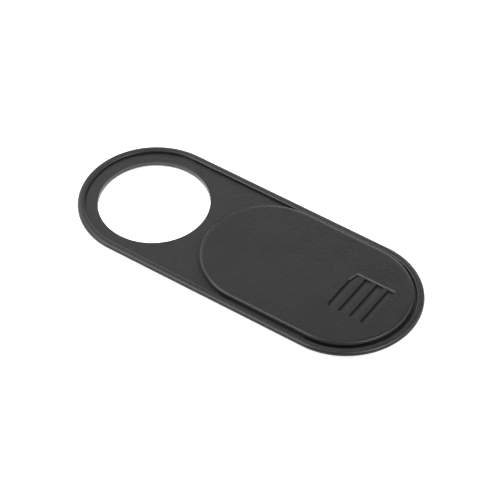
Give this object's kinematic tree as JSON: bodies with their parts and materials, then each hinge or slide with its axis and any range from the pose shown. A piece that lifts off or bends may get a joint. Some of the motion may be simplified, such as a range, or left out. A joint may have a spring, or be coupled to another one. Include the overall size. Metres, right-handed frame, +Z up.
{
  "type": "webcam cover slider",
  "caption": "Thin round-ended stick-on webcam cover: a rimmed black tray with a round lens window and a shutter plate with a ridged thumb grip that slides over the window.",
  "frame": {"origin": "centre of the outline, on the underside of the adhesive pad", "axes": "+X along the length, from the lens window to the end where the open shutter rests; +Y across; +Z up, out of the surface that the cover is stuck to"},
  "size_m": [0.04, 0.016, 0.0014],
  "materials": {
    "tray_plastic": "fine matt moulded texture, near black",
    "shutter_plastic": "fine matt moulded texture, near black",
    "pad_tape": "white double-sided foam tape"
  },
  "bodies": {
    "tray": {"base_tray": "tray_plastic", "adhesive_pad": "pad_tape"},
    "shutter": {"slider_shutter": "shutter_plastic"}
  },
  "joints": [
    {"name": "shutter_slide", "type": "slide", "parent": "tray", "child": "shutter", "axis": [-1, 0, 0], "range_m": [0, 0.01431]}
  ]
}
